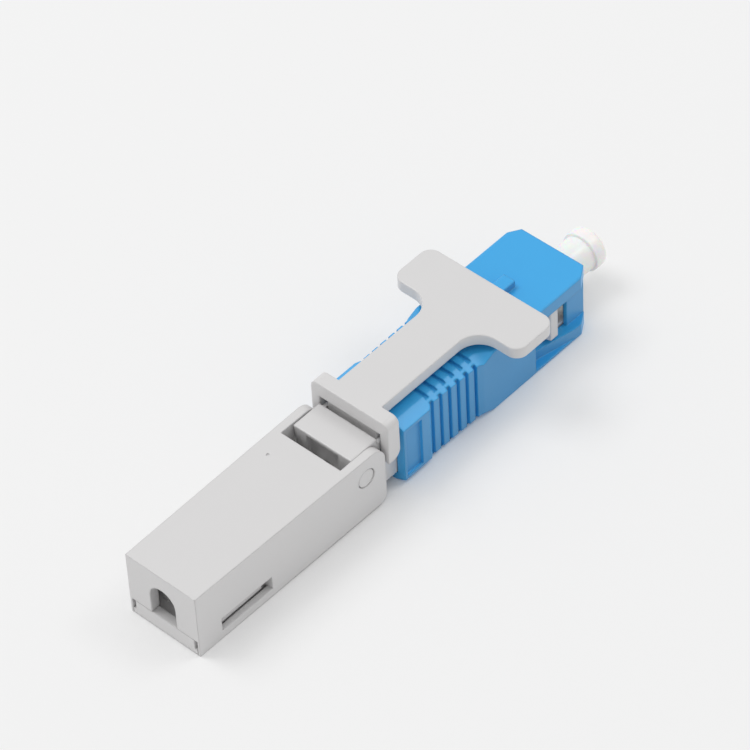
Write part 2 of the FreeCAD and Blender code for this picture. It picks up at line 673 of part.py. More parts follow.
def make_plug_frame():
    body = new_body("plug_frame")
    front, rear = -size.frame_front, -frame_rear
    wide, high = frame_half_wide, frame_half_high
    mouth_wide, mouth_high = wide - size.mouth_side_wall, high - size.mouth_top_wall
    room_wide, room_high = wide - size.frame_side_wall, high - size.frame_top_wall
    pad(body, "FrameBlock", "X", rear, front, rectangle(-wide, wide, -high, high))
    pocket(body, "Mouth", "X", -size.stop_front, front + size.past,
           rectangle(-mouth_wide, mouth_wide, -mouth_high, mouth_high))
    pocket(body, "StopBore", "X", -flange_front - size.past, -size.stop_front + size.past,
           ((0, 0), size.ferrule_radius + size.stop_room))
    pocket(body, "SpringRoom", "X", rear - size.past, -flange_front,
           rectangle(-room_wide, room_wide, -room_high, room_high))

    # A window in each side wall, and behind it the shoulder that the adapter's latch closes behind.
    start, end = -size.shoulder_front, -size.shoulder_front - size.shoulder_long
    shoulder_high = shoulder_half_high
    window = rectangle(start, start + size.side_window_long, -shoulder_high, shoulder_high)
    pocket(body, "SideWindows", "Y", -wide - size.past, wide + size.past, window)
    out = wide + size.shoulder_out
    root = wide - size.bite
    for row, side in enumerate(SIDES):
        shoulder = [
            (start, side * root),
            (start, side * (out - size.shoulder_lead)),
            (start - size.shoulder_lead, side * out),
            (end + size.shoulder_slope, side * out),
            (end, side * root),
        ]
        pad(body, "Shoulder%d" % row, "Z", -shoulder_high, shoulder_high, shoulder)

    # The body's snap lugs click into windows in the roof and the floor.
    snap = rectangle(rear + size.snap_rear, rear + size.snap_rear + size.snap_long,
                     -size.snap_half_wide, size.snap_half_wide)
    pocket(body, "SnapWindows", "Z", -high - size.past, high + size.past, snap)
    doc.recompute()
    corners = [name for up in SIDES for name in straight_edges(body.Tip, "X", y=wide, z=up * high)]
    round_edges(body, "FrameRounds", corners, size.edge_round)
    return body


# ---- the ferrule and what floats with it

def make_ferrule():
    body = new_body("ferrule")
    tip = size.ferrule_tip
    rear = tip - size.ferrule_long
    turned(body, "FerruleRod", "Revolution", [
        (tip, fibre_bore),
        (tip, size.ferrule_radius - size.tip_bevel_in),
        (tip - size.tip_bevel_long, size.ferrule_radius),
        (rear, size.ferrule_radius),
        (rear, size.cone_radius),
        (rear + size.cone_long, fibre_bore),
    ])
    return body


def make_ferrule_flange():
    body = new_body("ferrule_flange")
    bore = size.ferrule_radius + size.fit_gap
    turned(body, "FlangeTurning", "Revolution", [
        (-flange_front, bore),
        (-flange_front, flange_radius - size.flange_bevel),
        (-flange_front - size.flange_bevel, flange_radius),
        (-flange_rear, flange_radius),
        (-flange_rear, barrel_radius),
        (-barrel_rear, barrel_radius),
        (-barrel_rear, bore),
    ])
    return body


def make_fibre_stub():
    body = new_body("fibre_stub")
    pad(body, "FibreRod", "X", -splice_middle, size.ferrule_tip, ((0, 0), size.fibre_radius))
    return body


def make_ferrule_spring():
    """A compression spring from the flange to the seat in the body's nose."""
    body = new_body("ferrule_spring")
    wire = size.spring_wire
    front, rear = -flange_rear - wire, -nose_front + wire
    sketch = new_sketch(body, "WireSketch", "Y", 0)
    draw_circle(sketch, (rear, spring_mean), wire)
    coil = body.newObject("PartDesign::AdditiveHelix", "SpringCoil")
    coil.Profile = sketch
    coil.ReferenceAxis = (sketch, ["H_Axis"])
    coil.Mode = "pitch-height-angle"
    bind(coil, "Height", front - rear)
    bind(coil, "Pitch", (front - rear) / size.spring_turns)
    return body


def make_splice_carriage():
    body = new_body("splice_carriage")
    turned(body, "CarriageNeck", "Revolution", [
        (-spigot_front, size.coat_bore),
        (-spigot_front, size.ferrule_radius),
        (-barrel_rear, size.ferrule_radius),
        (-barrel_rear, barrel_radius),
        (-trough_front - size.trough_end, barrel_radius),
        (-trough_front - size.trough_end, size.coat_bore),
    ])
    half, inner = trough_half, trough_inner
    front, rear = -trough_front, -trough_rear
    pad(body, "TroughBlock", "X", rear, front, rectangle(-half, half, -half, trough_top))
    pocket(body, "TroughHollow", "X", rear + size.trough_end, front - size.trough_end,
           rectangle(-inner, inner, -inner, trough_top + size.past))
    pocket(body, "FibreHole", "X", rear - size.past, front + size.past, ((0, 0), size.coat_bore))
    lead = size.trough_end
    turned(body, "FibreLead", "Groove", [
        (rear, 0),
        (rear, size.coat_bore + lead),
        (rear + lead, size.coat_bore),
        (rear + lead, 0),
    ])
    return body


def cut_blade_notch(body, side, face):
    """Slope the splice's inner upper edge, from its rear end, so that the key's blade can enter."""
    top = splice_half_high
    inside = face - splice_half_wide
    section = [
        (side * face, top - size.notch_deep),
        (side * (face + size.notch_half), top),
        (side * (face + size.notch_half), top + size.past),
        (side * inside, top + size.past),
        (side * inside, top - size.notch_deep),
    ]
    pocket(body, "BladeNotch", "X", -splice_rear - size.past, -notch_front, section)


def make_splice_base():
    body = new_body("splice_base")
    high = splice_half_high
    face = size.base_face
    pad(body, "BaseBlock", "X", -splice_rear, -splice_front, rectangle(face, splice_half_wide, -high, high))
    groove = [(face, -size.groove_half), (face + size.groove_deep, 0), (face, size.groove_half)]
    pocket(body, "VeeGroove", "X", -splice_rear - size.past, -splice_front + size.past, groove)
    cut_blade_notch(body, 1, face)
    return body


def make_splice_lid(label, start, end, face, notched):
    """One lid of the splice, between two distances behind the origin."""
    body = new_body(label)
    high = splice_half_high
    thick = splice_half_wide - size.lid_face
    pad(body, "LidBlock", "X", -end, -start, rectangle(-face - thick, -face, -high, high))
    if notched:
        cut_blade_notch(body, -1, face)
    return body


def make_splice_clip():
    """A folded spring clip: a spine below, and legs that press the lids against the base."""
    body = new_body("splice_clip")
    inner = splice_half_wide + size.lid_open + size.fit_gap
    outer = inner + size.clip_thick
    spine = -splice_half_high - size.fit_gap
    low = spine - size.clip_thick
    top = splice_half_high - size.clip_thick
    section = [
        (-outer, low), (outer, low), (outer, top), (inner, top),
        (inner, spine), (-inner, spine), (-inner, top), (-outer, top),
    ]
    pad(body, "ClipFold", "X", -splice_rear + size.splice_slack, -splice_front - size.splice_slack, section)
    reach = outer + size.past
    pocket(body, "ClipSlit", "X", -splice_middle - size.clip_slit / 2, -splice_middle + size.clip_slit / 2,
           rectangle(-reach, reach, spine + size.clip_thick, top + size.past))
    return body


# ---- the body moulding

def add_snap_lugs(body, nose_high):
    """Sloped lugs that click into the plug frame's windows."""
    rear = -frame_rear + size.snap_rear + size.run_gap
    front = -frame_rear + size.snap_rear + size.snap_long - size.run_gap
    half = size.snap_half_wide - size.run_gap
    top = frame_half_high - size.run_gap
    for row, up in enumerate(SIDES):
        root = up * (nose_high - size.bite)
        pad(body, "SnapLug%d" % row, "Y", -half, half, [(rear, root), (rear, up * top), (front, root)])


def add_tray(body):
    """The floor that carries the cable, and the sill that closes the space under the cover's rear wall."""
    rear = -cover_rear
    sill_front = rear + size.cover_end - size.run_gap
    floor = [
        (-block_rear + size.past, neck_half_wide),
        (-block_rear, neck_half_wide),
        (sill_front, tray_half_rear),
    ]
    pad(body, "TrayFloor", "Z", -tray_bottom, -tray_top, mirrored(floor))
    pad(body, "Sill", "X", rear, sill_front, rectangle(-sill_half, sill_half, -tray_bottom, -size.sill_top))
    notch_low = -size.sill_top - size.sill_notch_high
    for row, side in enumerate(SIDES):
        notch = rectangle(side * (sill_half - size.sill_notch), side * (sill_half + size.past),
                          notch_low, -size.sill_top + size.past)
        pocket(body, "SillNotch%d" % row, "X", rear - size.past, sill_front + size.past, notch)


def add_cable_rails(body):
    """Rails beside the cable, with sharp teeth that grip its sheath."""
    inner, outer = size.rail_inner, size.rail_inner + size.rail_wall
    for row, side in enumerate(SIDES):
        pad(body, "Rail%d" % row, "Z", -tray_top, size.rail_top,
            rectangle(-rail_rear, -rail_front, side * inner, side * outer))
        tip = side * (inner - size.tooth_high)
        root = side * (inner + size.bite)
        start = -rail_front - size.tooth_pitch / 2
        tooth = [(start, root), (start - size.tooth_high, tip), (start - size.tooth_high * 2, root)]
        first = pad(body, "Tooth%d" % row, "Z", -tray_top, size.rail_top, tooth)
        repeated(body, "Teeth%d" % row, first, size.tooth_pitch, size.tooth_count)


def add_fibre_guide(body):
    """A grooved bench that leads the bare fibre to the hole in the pivot block."""
    front = -block_rear + size.recess_deep
    pad(body, "Guide", "Z", -tray_top, size.guide_top,
        rectangle(-guide_rear, front, -size.guide_half, size.guide_half))
    groove = size.guide_bore
    above = size.guide_top + size.past
    pocket(body, "GuideGroove", "X", -guide_rear - size.past, front,
           [(-groove, 0), (0, -groove), (groove, 0), (groove, above), (-groove, above)])
    pocket(body, "GuideRecess", "X", -block_rear, front,
           rectangle(-size.recess_half, size.recess_half, size.guide_top, size.recess_top))


def add_cover_holds(body):
    """Round bosses that carry the cover, and sloped lugs that click into its side windows."""
    for row, side in enumerate(SIDES):
        pad(body, "PivotBoss%d" % row, "Y", side * (neck_half_wide - size.bite),
            side * (cover_half_front - size.pivot_sink), ((-pivot_back, size.pivot_up), size.pivot_radius))
        root = side * (tray_half_rear - size.bite)
        low = -window_low + size.run_gap
        lug = [
            (root, low),
            (side * (tray_half_rear + size.lug_reach), low),
            (root, -window_top - size.run_gap),
        ]
        pad(body, "LatchLug%d" % row, "X", -window_rear + size.lug_inset, -window_front - size.lug_inset, lug)


def make_connector_body():
    body = new_body("connector_body")
    nose_wide = frame_half_wide - size.frame_side_wall - size.nose_gap
    nose_high = frame_half_high - size.frame_top_wall - size.nose_gap

    # Nose, stepped middle, neck and pivot block follow one another along the axis.
    pad(body, "Nose", "X", -frame_rear, -nose_front, rectangle(-nose_wide, nose_wide, -nose_high, nose_high))
    pad(body, "Step", "X", -step_rear, -frame_rear,
        rectangle(-frame_half_wide, frame_half_wide, -neck_bottom, frame_half_high))
    pad(body, "Neck", "X", -block_front, -step_rear,
        rectangle(-neck_half_wide, neck_half_wide, -neck_bottom, neck_top))
    pad(body, "Block", "X", -block_rear, -block_front,
        rectangle(-neck_half_wide, neck_half_wide, -tray_bottom, block_top))
    add_snap_lugs(body, nose_high)
    add_tray(body)
    add_cable_rails(body)
    add_fibre_guide(body)

    # The room that the splice carriage floats in, and the ways in through its ends and its roof.
    half = cavity_half
    pocket(body, "CarriageRoom", "X", -cavity_rear, -cavity_front, rectangle(-half, half, -half, half))
    pocket(body, "SpringSeatBore", "X", -cavity_front - size.bite, -nose_front + size.past,
           ((0, 0), barrel_radius + size.run_gap))
    pocket(body, "FibreHole", "X", -block_rear - size.past, -cavity_rear + size.bite, ((0, 0), size.fibre_hole))
    pocket(body, "KeySeat", "Z", seat_floor, neck_top + size.past,
           rectangle(-block_front, -saddle_front, -size.seat_half, size.seat_half))
    slot_half = size.blade_half + size.blade_play
    pocket(body, "KeySlot", "Z", 0, neck_top + size.past,
           rectangle(-blade_rear - size.blade_room, -blade_front + size.blade_room, -slot_half, slot_half))
    add_cover_holds(body)
    doc.recompute()

    edges = straight_edges(body.Tip, "Y", x=-block_rear, z=block_top)
    edges += straight_edges(body.Tip, "X", y=neck_half_wide, z=block_top)
    round_edges(body, "BlockRounds", edges, size.block_round)
    return body


# ---- the hinged tail cover

def cut_cable_arch(body):
    """The rear wall's round-topped opening for the cable, above the tray's sill."""
    behind = -cover_rear - size.past
    wall_front = -cover_rear + size.cover_end
    sill_wide = sill_half + size.run_gap
    under = -size.sill_top + size.run_gap / 2
    pocket(body, "SillRoom", "X", behind, wall_front + size.sill_play,
           rectangle(-sill_wide, sill_wide, -sleeve_half_high - size.past, under))
    arch = size.arch_half
    pocket(body, "ArchSides", "X", behind, wall_front + size.past,
           rectangle(-arch, arch, under - size.bite, size.arch_spring))
    pocket(body, "ArchCrown", "X", behind, wall_front + size.past, ((0, size.arch_spring), arch))


def cut_latch_windows(body):
    """Latch windows through both side walls, above thinned bands that can spring outwards."""
    reach = cover_half_front + size.past
    pocket(body, "LatchWindows", "Y", -reach, reach,
           rectangle(-window_rear, -window_front, -window_low, -window_top))
    band = cover_half_rear - size.band_thick
    pocket(body, "BandRelief", "Z", -sleeve_half_high - size.past, -window_top,
           rectangle(-window_rear, -window_front, -band, band))


def add_press_ribs(body):
    """Ribs under the roof that press on the cable."""
    front = -window_front - size.press_thick
    roof = cover_top_rear - size.cover_roof + size.bite
    rib = pad(body, "PressRib", "X", front - size.press_thick, front,
              rectangle(-size.press_half, size.press_half, size.press_low, roof))
    repeated(body, "PressRibs", rib, size.press_pitch, size.press_count)


def front_corner_edges(feature, up):
    """Name the edges across the ears' front corners, above or below the axis."""
    found = []
    for row, edge in enumerate(feature.Shape.Edges, start=1):
        box = edge.BoundBox
        across = box.XLength < TOUCH and box.ZLength < TOUCH
        in_front = abs(box.XMin + cover_front.number) < TOUCH
        if across and in_front and box.ZMin * up > size.sill_top.number:
            found.append("Edge%d" % row)
    return found


def make_tail_cover():
    body = new_body("tail_cover")
    front, rear = -cover_front, -cover_rear
    floor = -sleeve_half_high
    shell = [
        (front, rectangle(-cover_half_front, cover_half_front, floor + size.ear_lift, cover_top_front)),
        (rear, rectangle(-cover_half_rear, cover_half_rear, floor, cover_top_rear)),
    ]
    loft(body, "CoverShell", "AdditiveLoft", shell)

    # The hollow is open below and in front, and stops at the rear wall.
    inner_rear = cover_half_rear - size.cover_wall
    low = floor - size.past
    hollow = [
        (front + size.past, rectangle(-ear_inner, ear_inner, low, cover_top_front - size.cover_roof)),
        (rear + size.cover_end, rectangle(-inner_rear, inner_rear, low, cover_top_rear - size.cover_roof)),
    ]
    loft(body, "CoverHollow", "SubtractiveLoft", hollow)
    pocket(body, "FrontNotch", "Z", 0, cover_top_rear + size.past,
           rectangle(-cover_notch, front + size.past, -ear_inner, ear_inner))
    cut_cable_arch(body)
    reach = cover_half_front + size.past
    pocket(body, "PivotHoles", "Y", -reach, reach,
           ((-pivot_back, size.pivot_up), size.pivot_radius + size.pivot_gap))
    cut_latch_windows(body)
    pocket(body, "MouldMark", "Z", cover_top_front - size.mark_deep, cover_top_rear + size.past,
           ((-cover_notch - size.mark_behind, size.mark_side), size.mark_radius))
    add_press_ribs(body)
    doc.recompute()
    round_edges(body, "EarCrowns", front_corner_edges(body.Tip, 1), size.ear_crown)
    doc.recompute()
    round_edges(body, "EarToes", front_corner_edges(body.Tip, -1), size.ear_toe)
    return body


# ---- the T-shaped opening key

def add_saddle(body):
    """The saddle's bar and its two legs, which straddle the body's neck."""
    inner = neck_half_wide + size.leg_gap
    outer = saddle_half
    section = [
        (-outer, size.saddle_low), (-inner, size.saddle_low), (-inner, bar_low), (inner, bar_low),
        (inner, size.saddle_low), (outer, size.saddle_low), (outer, key_top), (-outer, key_top),
    ]
    pad(body, "Saddle", "X", -saddle_rear, -saddle_front, section)


def add_blade(body):
    """The foot that rests in the neck's recess, and the blade that goes down between the splice's halves."""
    pad(body, "Foot", "X", -blade_rear, -blade_front,
        rectangle(-size.foot_half, size.foot_half, seat_floor, bar_low + size.bite))
    half, edge = size.blade_half, size.blade_edge
    shoulder = blade_tip + size.blade_taper
    root = seat_floor + size.bite
    section = [
        (-half, root), (-half, shoulder), (-edge, blade_tip),
        (edge, blade_tip), (half, shoulder), (half, root),
    ]
    pad(body, "Blade", "X", -blade_rear, -blade_front, section)


def make_wedge_key():
    body = new_body("wedge_key")
    head_front, head_back = -size.head_front, -head_rear
    plan = [
        (head_front, size.head_half),
        (head_back, size.head_half),
        (head_back, size.stem_half),
        (-saddle_front - size.bite, size.stem_half),
    ]
    pad(body, "KeyPlate", "Z", key_under, key_top, mirrored(plan))
    add_saddle(body)
    add_blade(body)

    # A shallow groove under the head clears the sleeve's key ridge.
    groove_half = size.ridge_half_wide + size.leg_gap
    groove_rear = -ridge_rear - size.grip_play - size.leg_gap
    pocket(body, "RidgeGroove", "Z", key_under - size.past, sleeve_half_high + size.ridge_high + size.run_gap,
           rectangle(groove_rear, head_front + size.past, -groove_half, groove_half))
    doc.recompute()

    corners = straight_edges(body.Tip, "Z", x=head_front, y=size.head_half)
    corners += straight_edges(body.Tip, "Z", x=head_back, y=size.head_half)
    round_edges(body, "HeadRounds", corners, size.head_round)
    doc.recompute()
    roots = straight_edges(body.Tip, "Z", x=head_back, y=size.stem_half)
    round_edges(body, "StemFillets", roots, size.stem_fillet)
    doc.recompute()
    crowns = straight_edges(body.Tip, "X", y=saddle_half, z=key_top)
    round_edges(body, "SaddleCrowns", crowns, size.saddle_crown)
    doc.recompute()
    toes = straight_edges(body.Tip, "Y", x=-saddle_front, z=size.saddle_low)
    round_edges(body, "SaddleToes", toes, size.saddle_toe)
    return body


# ---- the dust cap

def make_dust_cap():
    body = new_body("dust_cap")
    hole_end = size.ferrule_tip + size.cap_room
    turned(body, "CapTurning", "Revolution", [
        (-size.cap_in, cap_bore),
        (-size.cap_in, cap_tube),
        (size.cap_rim_rear, cap_tube),
        (size.cap_rim_rear, cap_rim),
        (cap_front - size.cap_bevel, cap_rim),
        (cap_front, cap_rim - size.cap_bevel),
        (cap_front, 0),
        (hole_end, 0),
        (hole_end, cap_bore),
    ])
    return body


# ---- the whole connector

def make_all():
    split_front = splice_middle - size.lid_split / 2
    split_rear = splice_middle + size.lid_split / 2
    held_face = size.lid_face + size.lid_open
    return [
        make_grip_sleeve(),
        make_plug_frame(),
        make_ferrule(),
        make_ferrule_flange(),
        make_fibre_stub(),
        make_ferrule_spring(),
        make_splice_carriage(),
        make_splice_base(),
        make_splice_lid("splice_lid_front", splice_front, split_front, size.lid_face, False),
        make_splice_lid("splice_lid_rear", split_rear, splice_rear, held_face, True),
        make_splice_clip(),
        make_connector_body(),
        make_tail_cover(),
        make_wedge_key(),
        make_dust_cap(),
    ]


def check_model(bodies):
    """Stop if anything failed to build, if a cut missed its piece or if a piece isn't one solid."""
    for item in doc.Objects:
        if "Invalid" in item.State or "Error" in item.State:
            raise ValueError("%s failed: %s" % (item.Label, item.State))
    for base, feature in CUTS:
        if feature.Shape.Volume > base.Shape.Volume - TOUCH ** 2:
            raise ValueError("%s cuts nothing" % feature.Label)
    for body in bodies:
        shape = body.Shape
        if shape.isNull() or not shape.isValid() or len(shape.Solids) != 1:
            raise ValueError("%s isn't one valid solid" % body.Label)


pieces = make_all()
doc.recompute()
check_model(pieces)
os.makedirs("parts", exist_ok=True)
for piece in pieces:
    piece.Shape.exportStep("parts/%s.step" % piece.Label)
    box = piece.Shape.BoundBox
    print("%-18s volume %8.2f mm3  x %.2f..%.2f  y %.2f..%.2f  z %.2f..%.2f" % (
        piece.Label, piece.Shape.Volume, box.XMin, box.XMax, box.YMin, box.YMax, box.ZMin, box.ZMax))
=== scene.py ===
# %% [markdown]
# # A field-fitted SC fibre connector
#
# This lesson dresses a small fibre-optic plug: a blue push-pull sleeve, a grey body with a hinged tail
# cover, a T-shaped opening key and a translucent dust cap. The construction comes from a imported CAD
# model, which is never moved. What is made here is the look: soft moulded edges, the finish of each
# plastic, ceramic and metal, the light and the camera.

# %% Load the CAD frame
import bpy
import math
from mathutils import Matrix, Vector


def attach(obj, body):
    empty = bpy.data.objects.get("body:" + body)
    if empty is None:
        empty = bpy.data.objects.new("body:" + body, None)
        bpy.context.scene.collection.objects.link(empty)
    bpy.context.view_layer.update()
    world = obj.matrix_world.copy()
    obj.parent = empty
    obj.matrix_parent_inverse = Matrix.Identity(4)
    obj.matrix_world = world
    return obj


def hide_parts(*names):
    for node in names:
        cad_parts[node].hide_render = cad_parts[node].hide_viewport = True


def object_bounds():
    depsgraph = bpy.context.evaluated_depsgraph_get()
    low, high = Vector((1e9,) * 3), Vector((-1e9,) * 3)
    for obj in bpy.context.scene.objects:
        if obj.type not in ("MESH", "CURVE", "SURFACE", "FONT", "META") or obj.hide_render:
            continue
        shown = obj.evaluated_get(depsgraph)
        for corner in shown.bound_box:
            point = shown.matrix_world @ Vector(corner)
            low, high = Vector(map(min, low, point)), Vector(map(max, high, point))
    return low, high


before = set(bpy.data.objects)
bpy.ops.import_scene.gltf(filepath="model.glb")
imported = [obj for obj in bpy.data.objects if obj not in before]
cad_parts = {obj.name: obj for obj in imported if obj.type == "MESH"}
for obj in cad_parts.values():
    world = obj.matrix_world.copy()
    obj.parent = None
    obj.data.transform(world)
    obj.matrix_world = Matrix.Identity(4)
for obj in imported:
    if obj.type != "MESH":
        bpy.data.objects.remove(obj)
MM = 0.001
cad_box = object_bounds()
print("CAD box in mm:", [[round(value / MM, 2) for value in corner] for corner in cad_box])


# %% [markdown]
# ## The camera
#
# A small object seen from above through a long lens shows almost no perspective. The camera is placed
# by angles round the object and a distance, and aimed at a point near the middle of the model. A slight
# roll about the line of sight tilts the view, as a hand-held camera does.

# %% Place the camera
AZIMUTH = math.radians(-45.667)
ELEVATION = math.radians(46.381)
ROLL = math.radians(-3.379)
DISTANCE = 389.35 * MM
AIM = Vector((-28, 0, 0)) * MM
AIM_OFFSET = Vector((2.481, 6.607)) * MM
LENS = 212.59
SENSOR_WIDTH = 36
NEAREST_SEEN = 10 * MM
FARTHEST_SEEN = 10

back = Vector((math.sin(AZIMUTH) * math.cos(ELEVATION), -math.cos(AZIMUTH) * math.cos(ELEVATION),
               math.sin(ELEVATION)))
level_right = Vector((math.cos(AZIMUTH), math.sin(AZIMUTH), 0))
level_up = back.cross(level_right)
right = level_right * math.cos(ROLL) + level_up * math.sin(ROLL)
up = level_up * math.cos(ROLL) - level_right * math.sin(ROLL)
place = AIM + back * DISTANCE + right * AIM_OFFSET.x + up * AIM_OFFSET.y

camera_data = bpy.data.cameras.new("camera")
camera_data.lens = LENS
camera_data.sensor_width = SENSOR_WIDTH
camera_data.clip_start = NEAREST_SEEN
camera_data.clip_end = FARTHEST_SEEN
camera = bpy.data.objects.new("camera", camera_data)
camera.matrix_world = Matrix((right, up, back)).transposed().to_4x4()
camera.matrix_world.translation = place
bpy.context.scene.collection.objects.link(camera)
bpy.context.scene.camera = camera
print("camera at mm:", [round(value / MM, 1) for value in place])


# %% [markdown]
# ## Colours and nodes
#
# Colours are written as the hex values that a colour picker shows. Blender's shaders want linear
# light, so one function turns them. Another adds a node with its settings and links in one line,
# which keeps each material short enough to read. It takes a material or the world, because both hold
# a tree of nodes.

# %% Helpers for materials
def linear(hex_colour):
    """Turn an sRGB hex colour into linear light, with full alpha."""
    parts = [int(hex_colour[i:i + 2], 16) / 255 for i in (1, 3, 5)]
    return [p / 12.92 if p <= 0.04045 else ((p + 0.055) / 1.055) ** 2.4 for p in parts] + [1]


def add_node(owner, kind, values=None, **settings):
    """Add a shader node; a value is set on its input, or linked where it is another node's output."""
    tree = owner.node_tree
    node = tree.nodes.new("ShaderNode" + kind)
    for name, value in settings.items():
        setattr(node, name, value)
    for name, value in (values or {}).items():
        if isinstance(value, bpy.types.NodeSocket):
            tree.links.new(value, node.inputs[name])
        else:
            node.inputs[name].default_value = value
    return node


def new_material(name):
    """Make a material with an empty node tree."""
    material = bpy.data.materials.new(name)
    material.use_nodes = True
    material.node_tree.nodes.clear()
    return material


def finish_material(material, shader):
    """Give the material its output, fed by the shader."""
    output = add_node(material, "OutputMaterial")
    material.node_tree.links.new(shader, output.inputs["Surface"])
    return material


print("sRGB #808080 is", round(linear("#808080")[0], 3), "in linear light")


# %% [markdown]
# ## Moulded plastic
#
# Injection-moulded plastic copies the mould. Its faces were spark-eroded to a fine satin, which
# scatters light a little. The melt cools unevenly, which leaves broad, faint waves. Grain and waves
# are bump on the piece's own coordinates. The grain of a real satin mould is finer still, and is drawn
# as coarse as it needs to show. Handling wears the edges a little rounder than they left the mould, and
# a bevel node turns the light over them.

# %% The recipe of a moulded plastic
PLASTIC_IOR = 1.5
SATIN_GRAIN = 0.09 * MM
GRAIN_DEPTH = 0.01 * MM
COOLING_WAVE = 5 * MM
WAVE_DEPTH = 0.05 * MM
WAVE_STRENGTH = 0.06
ROUGHNESS_SPREAD = 0.05
WORN_EDGE = 0.2 * MM
EDGE_SAMPLES = 6


def moulded_plastic(name, colour, roughness, tint=0.02, grain=0.1):
    """A satin moulded plastic in one colour, with a faint uneven tone."""
    material = new_material(name)
    place = add_node(material, "TexCoord").outputs["Object"]
    fine = add_node(material, "TexNoise", {"Vector": place, "Scale": 1 / SATIN_GRAIN, "Detail": 3})
    broad = add_node(material, "TexNoise", {"Vector": place, "Scale": 1 / COOLING_WAVE, "Detail": 2})
    base = linear(colour)
    pale = [min(1, value * (1 + tint)) for value in base[:3]] + [1]
    deep = [value * (1 - tint) for value in base[:3]] + [1]
    tone = add_node(material, "Mix", {"Factor": broad.outputs["Fac"], "A": deep, "B": pale},
                    data_type="RGBA")
    rough = add_node(material, "MapRange", {
        "Value": fine.outputs["Fac"], "To Min": roughness - ROUGHNESS_SPREAD,
        "To Max": roughness + ROUGHNESS_SPREAD})
    worn = add_node(material, "Bevel", {"Radius": WORN_EDGE}, samples=EDGE_SAMPLES)
    waves = add_node(material, "Bump", {
        "Height": broad.outputs["Fac"], "Strength": WAVE_STRENGTH, "Distance": WAVE_DEPTH,
        "Normal": worn.outputs["Normal"]})
    bump = add_node(material, "Bump", {
        "Height": fine.outputs["Fac"], "Strength": grain, "Distance": GRAIN_DEPTH,
        "Normal": waves.outputs["Normal"]})
    shader = add_node(material, "BsdfPrincipled", {
        "Base Color": tone.outputs["Result"], "Roughness": rough.outputs["Result"], "IOR": PLASTIC_IOR,
        "Normal": bump.outputs["Normal"]})
    return finish_material(material, shader.outputs["BSDF"])


# %% The moulded plastics
# Satin PBT: a soft sheen that brightens the faces turned to the sky.
blue_pbt = moulded_plastic("moulded_blue_PBT", "#38A6E4", roughness=0.34)
# The same plastic from a coarser part of the mould, for grip: rougher and duller. Its colour is darker
# and greyer than the top's: painted shade for the sides.
blue_coarse_with_painted_shade = moulded_plastic("coarse_blue_PBT_painted_side_shade", "#4C98CD", roughness=0.4, grain=0.2)
# Light grey PBT: an even, neutral tone in which only the edges and gaps draw lines.
grey_pbt = moulded_plastic("moulded_light_grey_PBT", "#D5D4D4", roughness=0.34, tint=0.012)
# Glass-filled PEI of the splice, deep inside: a warm ivory, duller than the outer pieces.
ivory_pei = moulded_plastic("moulded_ivory_PEI", "#D8CFB8", roughness=0.4)
print("moulded plastics:", [plastic.name for plastic in (blue_pbt, blue_coarse_with_painted_shade, grey_pbt, ivory_pei)])


# %% [markdown]
# ## Cap, ceramic, metals and glass
#
# These pieces are small or hidden, so one plain shader with a trace of grain does for all. What sets
# them apart is the way they send light back, and each starts from its material's usual values. A metal
# keeps the default IOR.

# %% The other materials
GRAIN_TRACE = 0.05
TRACE_DEPTH = 0.005 * MM


def plain_shader(name, colour, **values):
    """A material in one colour; each further value is named for its input, with _ for a space."""
    material = new_material(name)
    place = add_node(material, "TexCoord").outputs["Object"]
    grain = add_node(material, "TexNoise", {"Vector": place, "Scale": 1 / SATIN_GRAIN, "Detail": 2})
    bump = add_node(material, "Bump", {"Height": grain.outputs["Fac"], "Strength": GRAIN_TRACE,
                                       "Distance": TRACE_DEPTH})
    inputs = {"Base Color": linear(colour), "Normal": bump.outputs["Normal"]}
    inputs.update({label.replace("_", " "): value for label, value in values.items()})
    shader = add_node(material, "BsdfPrincipled", inputs)
    return finish_material(material, shader.outputs["BSDF"])


# Natural polyethylene: light goes in and comes out beside, so the cap looks milky, with soft shades.
cap_polyethylene = plain_shader("soft_natural_polyethylene", "#F4F5F2", Roughness=0.3, IOR=PLASTIC_IOR,
                                Subsurface_Weight=0.6, Subsurface_Scale=1 * MM)
# Zirconia, ground and polished: white, with a hard and narrow shine.
zirconia = plain_shader("ground_zirconia", "#F2F1EC", Roughness=0.12, IOR=2.1)
# Nickel plate on a turned collar: a warm grey metal with blurred reflections.
nickel = plain_shader("turned_nickel_plate", "#C9C5BC", Metallic=1.0, Roughness=0.28)
# Drawn spring steel, for coil and clip: a neutral metal, a little brighter along the wire.
spring_steel = plain_shader("drawn_spring_steel", "#B9BABA", Metallic=1.0, Roughness=0.25)
# Bare glass fibre: smooth and half clear, no more than a bright thread.
fibre_glass = plain_shader("bare_glass_fibre", "#F4F7FA", Roughness=0.02, IOR=1.45, Alpha=0.5)

FINISHES = {
    "grip_sleeve": blue_pbt,
    "plug_frame": grey_pbt,
    "connector_body": grey_pbt,
    "tail_cover": grey_pbt,
    "wedge_key": grey_pbt,
    "dust_cap": cap_polyethylene,
    "ferrule": zirconia,
    "ferrule_flange": nickel,
    "ferrule_spring": spring_steel,
    "splice_clip": spring_steel,
    "fibre_stub": fibre_glass,
    "splice_carriage": ivory_pei,
    "splice_base": ivory_pei,
    "splice_lid_front": ivory_pei,
    "splice_lid_rear": ivory_pei,
}
for node, material in FINISHES.items():
    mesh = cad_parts[node].data
    mesh.materials.clear()
    mesh.materials.append(material)
print(len(FINISHES), "nodes have their finish")


# %% [markdown]
# ## Copies of the mouldings
#
# The CAD nodes stay as they are. Each moulding that shows is copied, its loose triangles are merged and
# its flat faces are joined up again, so that the edges can be worked on and the piece keeps its place.

# %% Copy the mouldings
MERGE_DISTANCE = 0.0005 * MM
FLAT_ANGLE = math.radians(0.5)


